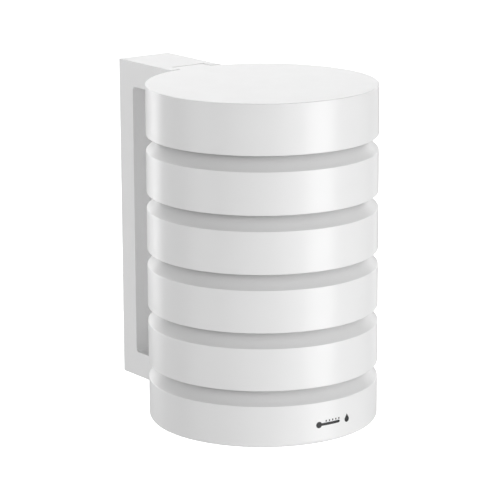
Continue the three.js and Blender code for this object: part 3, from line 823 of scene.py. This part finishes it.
def status_lamp():
    """A lens that stands in the head cap's hole, with a flange that holds it from inside."""
    top = MODULE_TOP - 0.4
    lens = LAMP_HOLE - GAP
    obj = revolved("status_lamp_lens", rounded([
        (0, MODULE_TOP - 5, 0),
        (2.6, MODULE_TOP - 5, 0.3),
        (2.6, MODULE_TOP - END_PLATE - GAP, 0.3),
        (lens, MODULE_TOP - END_PLATE - GAP, 0.1),
        (lens, top, 0.8),
        (0, top, 0),
    ]), 48)
    moved(obj, y=LAMP_Y)
    return dressed(obj, "sensor_tray", "lamp_green", ["status_lamp"])


def soft_ring(name, node, inner, outer, ribs=0):
    """A rubber ring with rounded rims, and shallow round grooves between ribs on its upper face."""
    foot = low(node).z - BASE_FOOT
    top = high(node).z - BASE_FOOT
    edge = min(0.3, (top - foot) * 0.4)
    corners = [(inner, foot, edge), (outer, foot, edge), (outer, top, edge)]
    for k in range(ribs, 0, -1):
        middle = inner + (outer - inner) * k / (ribs + 1)
        corners += [(middle + 0.5, top, 0.1), (middle + 0.3, top - 0.25, 0.1)]
        corners += [(middle - 0.3, top - 0.25, 0.1), (middle - 0.5, top, 0.1)]
    corners.append((inner, top, edge))
    return dressed(revolved(name, rounded(corners, 4), 128), "sensor_tray", "rubber_black", [node])


def battery(index):
    """A cell in its sleeve, with the crimped steel ends showing."""
    node = f"battery_{index}"
    foot = low(node).z - BASE_FOOT
    top = high(node).z - BASE_FOOT
    middle = (low(node) + high(node)) / 2
    radius = high(node).x - middle.x
    obj = revolved(node + "_cell", rounded([
        (0, foot + 0.2, 0),
        (3.4, foot + 0.2, 0.1),
        (3.6, foot, 0.1),
        (radius, foot, 0.6),
        (radius, top - 1, 0.7),
        (3.2, top - 1, 0.1),
        (2.9, top - 1.3, 0.1),
        (1.9, top - 1.3, 0.1),
        (1.9, top, 0.4),
        (0, top, 0),
    ]), 64)
    moved(obj, middle.x, middle.y - STACK_Y)
    dressed(obj, "sensor_tray", "cell_blue", [node])
    obj.data.materials.append(MATERIALS["steel"])
    sleeve_in = (radius - 0.45) * MM
    for polygon in obj.data.polygons:
        across = polygon.center - Vector((middle.x, middle.y, 0)) * MM
        if math.hypot(across.x, across.y) < sleeve_in:
            polygon.material_index = 1
    return obj


def battery_spring(index):
    """Round wire wound in a cone, its two end turns closed up flat."""
    node = f"battery_spring_{index}"
    lowest, highest = low(node), high(node)
    middle = (lowest + highest) / 2
    wire = 0.36
    turns = 5
    steps_per_turn = 28
    sides = 10
    steps = turns * steps_per_turn
    foot = lowest.z + wire
    rise = highest.z - wire - foot

    def centre(i):
        t = i / steps
        a = 2 * math.pi * turns * t
        closed = min(1, max(0, (t - 0.14) / 0.72))
        r = 3.5 - 1.5 * t
        return Vector((middle.x + r * math.cos(a), middle.y - STACK_Y + r * math.sin(a),
                       foot - BASE_FOOT + rise * closed + wire * 0.2 * (t - 0.5)))

    bm = bmesh.new()
    rings = []
    for i in range(steps + 1):
        tangent = (centre(min(i + 1, steps)) - centre(max(i - 1, 0))).normalized()
        side = tangent.cross(Vector((0, 0, 1))).normalized()
        up = side.cross(tangent)
        angles = [2 * math.pi * k / sides for k in range(sides)]
        spokes = [side * math.cos(a) + up * math.sin(a) for a in angles]
        rings.append([bm.verts.new(centre(i) + spoke * wire * 0.9) for spoke in spokes])
    for near, far in zip(rings, rings[1:]):
        for k in range(sides):
            on = (k + 1) % sides
            bm.faces.new((near[k], near[on], far[on], far[k]))
    bm.faces.new(rings[0][::-1])
    bm.faces.new(rings[-1])
    return dressed(mesh_object(node + "_wire", bm), "sensor_tray", "steel", [node])


module_shell()
module_foot_cap()
module_head_cap()
status_lamp()
soft_ring("module_seat_pad_ribbed", "module_seat_pad", SEAT_HOLE + 0.5, CUP_RADIUS - GAP, ribs=3)
soft_ring("module_seal_ring", "module_seal", MODULE_RADIUS - MODULE_SKIN, MODULE_RADIUS - 0.1)
for i in (1, 2):
    battery(i)
    battery_spring(i)

# ---- Flat pieces: the node's own shape with its hard edges rounded ----


def softened(node, edge, body, slot, cuts=()):
    """Copies a node's shape, joins its coplanar faces and rounds its hard edges."""
    bm = bmesh.new()
    bm.from_mesh(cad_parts[node].data)
    bm.transform(Matrix.Translation((0, -STACK_Y, -BASE_FOOT)) @ Matrix.Scale(1 / MM, 4))
    bmesh.ops.remove_doubles(bm, verts=bm.verts, dist=0.001)
    bmesh.ops.dissolve_limit(bm, angle_limit=math.radians(1), verts=bm.verts, edges=bm.edges)
    hard = [e for e in bm.edges if e.is_manifold and e.calc_face_angle() > math.radians(50)]
    bevelled(bm, hard, edge, clamp=True)
    obj = mesh_object(node + "_finished", bm)
    if cuts:
        cut(obj, cuts)
    return dressed(obj, body, slot, [node])


softened("wall_plate", 0.35, "bracket", "bracket_white")
softened("module_chassis", 0.3, "sensor_tray", "inner_grey")
softened("battery_bridge", 0.12, "sensor_tray", "steel")
softened("circuit_board", 0.15, "sensor_tray", "board_green")
can_foot = low("radio_can").z - BASE_FOOT
can_face = low("radio_can").y - STACK_Y
can_holes = [rod("hole", 0.45, can_face - 1, can_face + 0.5, x, can_foot + z, axis="Y", segments=24)
             for x in (-4, 0, 4) for z in (4, 9, 14)]
softened("radio_can", 0.35, "sensor_tray", "steel", can_holes)
softened("controller_chip", 0.12, "sensor_tray", "chip_black")
softened("pressure_sensor", 0.2, "sensor_tray", "steel")
softened("humidity_sensor", 0.12, "sensor_tray", "chip_black")
softened("sensor_filter", 0.25, "sensor_tray", "filter_white")

# ---- Small parts and copper on the front of the circuit board ----

BOARD_FACE = low("circuit_board").y - STACK_Y
COPPER = 0.05
SMALL_PART_PLACES = [
    *((x, 72.0) for x in (-10.0, -7.5, -5.0, -2.5, 0.0, 2.5, 5.0, 7.5, 10.0)),
    *((x, z) for x in (-12.0, -10.0, 2.0, 12.0) for z in (58.0, 61.0, 64.0)),
    *((x, 51.0) for x in (-3.0, 0.0, 3.0)),
]
TEST_PAD_PLACES = [(x, z) for x in (-11.5, 11.5) for z in (41.0, 44.0, 47.0, 50.0)]


def gathered(name, parts):
    """Separate parts as one piece."""
    bm = bmesh.new()
    for part in parts:
        bm.from_mesh(part.data)
        bpy.data.objects.remove(part)
    return mesh_object(name, bm)


def on_board(x, z, width, height, depth):
    """A little block whose back just enters the board."""
    low_corner = (x - width / 2, BOARD_FACE - depth, z - height / 2)
    high_corner = (x + width / 2, BOARD_FACE + 0.02, z + height / 2)
    return block("part", low_corner, high_corner, 0.06, 2)


def ribbon(points, width):
    """The outline of a strip that follows a path of (x, z) points, with square corners."""
    sides = ([], [])
    for i, point in enumerate(points):
        here = Vector(point)
        on = Vector(points[min(i + 1, len(points) - 1)]) - Vector(points[min(i, len(points) - 2)])
        back = here - Vector(points[i - 1]) if i else on
        square_on = on.orthogonal().normalized()
        square = back.orthogonal().normalized() + square_on
        reach = square * width / 2 / square.dot(square_on)
        sides[0].append(here + reach)
        sides[1].append(here - reach)
    return [tuple(p) for p in sides[0] + sides[1][::-1]]


def board_copper():
    """A folded aerial above the radio, and round test pads."""
    path = [(-5.0, 95.0), (-5.0, 97.5), (-10.0, 97.5)]
    for k in range(9):
        x = -10.0 + 2.5 * k
        ends = (99.5, 107.0) if k % 2 == 0 else (107.0, 99.5)
        path += [(x, z) for z in ends]
    path.remove((-10.0, 99.5))
    aerial = prism("aerial", ribbon(path, 0.7), BOARD_FACE - COPPER, BOARD_FACE + 0.02, axis="Y")
    pads = [rod("pad", 0.7, BOARD_FACE - COPPER, BOARD_FACE + 0.02, x, z, axis="Y", segments=32)
            for x, z in TEST_PAD_PLACES]
    return dressed(gathered("board_copper", [aerial, *pads]), "sensor_tray", "steel", material="gilt")


def small_parts():
    """Upright chip resistors and capacitors: a dark body between two tinned ends."""
    bodies = [on_board(x, z, 1.0, 1.1, 0.5) for x, z in SMALL_PART_PLACES]
    ends = [on_board(x, z + rise, 1.06, 0.42, 0.55)
            for x, z in SMALL_PART_PLACES for rise in (-0.75, 0.75)]
    dressed(gathered("small_parts", bodies), "sensor_tray", "chip_black")
    dressed(gathered("small_part_ends", ends), "sensor_tray", "steel", material="solder")


board_copper()
small_parts()

# ---- Floor, light and camera ----

FLOOR_DROP = 0.25  # metres from the base ring down to the floor
FLOOR_REACH = 12  # metres from the middle of the floor to its sides

# Where the camera stands and looks: angles in degrees, distances in metres, the lens in millimetres.
SHOT = {
    "azimuth": -36.61,
    "elevation": 13.73,
    "roll": -0.225,
    "distance": 1.1087,
    "aim_right": -0.00553,
    "aim_height": -0.0004,
    "lens": 184.1,
}


def add_floor():
    """A lit white floor that only the camera sees: the world gives the light from below."""
    bm = bmesh.new()
    bmesh.ops.create_grid(bm, x_segments=1, y_segments=1, size=FLOOR_REACH)
    floor = mesh_object("floor", bm)
    floor.location.z = cad_bounds[0][2] - FLOOR_DROP
    material, _, shader = node_material("floor_white")
    shader.inputs["Base Color"].default_value = (0.93, 0.93, 0.93, 1)
    shader.inputs["Roughness"].default_value = 0.9
    shader.inputs["Emission Color"].default_value = (1, 1, 1, 1)
    shader.inputs["Emission Strength"].default_value = 1.0
    floor.data.materials.append(material)
    floor.visible_diffuse = False
    floor.visible_glossy = False
    floor.visible_transmission = False
    floor.visible_shadow = False


def add_area_light(name, azimuth, elevation, distance, width, height, power):
    """A softbox that faces the shield: its direction from the front in degrees, its sizes in metres."""
    a = math.radians(azimuth)
    e = math.radians(elevation)
    centre = Vector((0, STACK_Y * MM, 0))
    out = Vector((math.sin(a) * math.cos(e), -math.cos(a) * math.cos(e), math.sin(e)))
    light = bpy.data.lights.new(name, "AREA")
    light.shape = "RECTANGLE"
    light.size = width
    light.size_y = height
    light.energy = power
    obj = bpy.data.objects.new(name, light)
    obj.location = centre + out * distance
    obj.rotation_euler = out.to_track_quat("Z", "Y").to_euler()
    bpy.context.scene.collection.objects.link(obj)


def add_world(stops):
    """A plain studio whose light changes only with height.

    stops are (place, brightness), where the place runs from 0, straight down, to 1, straight up.
    """
    world = bpy.data.worlds.new("studio")
    world.use_nodes = True
    tree = world.node_tree
    direction = tree.nodes.new("ShaderNodeTexCoord").outputs["Generated"]
    split = tree.nodes.new("ShaderNodeSeparateXYZ")
    link(tree, direction, split.inputs[0])
    height = tree.nodes.new("ShaderNodeMapRange")
    height.inputs["From Min"].default_value = -1
    link(tree, split.outputs["Z"], height.inputs["Value"])
    sky = ramp(tree, height.outputs["Result"], [(position, grey(value)) for position, value in stops])
    link(tree, sky, tree.nodes["Background"].inputs["Color"])
    bpy.context.scene.world = world


def add_camera():
    """The camera looks at the stack's axis from the direction in SHOT."""
    a = math.radians(SHOT["azimuth"])
    e = math.radians(SHOT["elevation"])
    roll = math.radians(SHOT["roll"])
    back = Vector((math.sin(a) * math.cos(e), -math.cos(a) * math.cos(e), math.sin(e)))
    right = Vector((math.cos(a), math.sin(a), 0))
    up = back.cross(right)
    rolled_right = right * math.cos(roll) + up * math.sin(roll)
    rolled_up = up * math.cos(roll) - right * math.sin(roll)
    aim = Vector((0, STACK_Y * MM, SHOT["aim_height"])) + right * SHOT["aim_right"]
    place = Matrix((rolled_right, rolled_up, back)).transposed().to_4x4()
    place.translation = aim + back * SHOT["distance"]
    camera = bpy.data.cameras.new("camera")
    camera.lens = SHOT["lens"]
    obj = bpy.data.objects.new("camera", camera)
    obj.matrix_world = place
    bpy.context.scene.collection.objects.link(obj)
    bpy.context.scene.camera = obj


add_floor()
add_world([(0.3, 0.59), (0.42, 0), (0.48, 1), (0.62, 1), (0.69, 0.45), (0.82, 0.45), (0.92, 0)])
# Name, azimuth, elevation, distance, width, height, power.
add_area_light("key_light", 20, -5, 1.6, 0.9, 0.95, 11.5)
add_area_light("front_light", -10, 4, 1.6, 0.5, 1.5, 3.1)
add_area_light("right_light", 112, 2, 1.6, 0.5, 1.2, 1.5)
add_area_light("left_light", -100, 4, 1.6, 0.8, 1.5, 4.5)
add_area_light("left_back_light", -165, -2, 1.6, 0.45, 0.8, 3.4)
add_area_light("rim_light", 178, -2, 1.6, 0.6, 0.8, 1.2)
add_area_light("back_light", 163, 58, 2.0, 1.6, 1.2, 22)
add_area_light("sheen_light", 158, 20, 2.0, 1.6, 0.8, 3.2)
add_camera()
scene = bpy.context.scene
scene.view_settings.view_transform = "Standard"
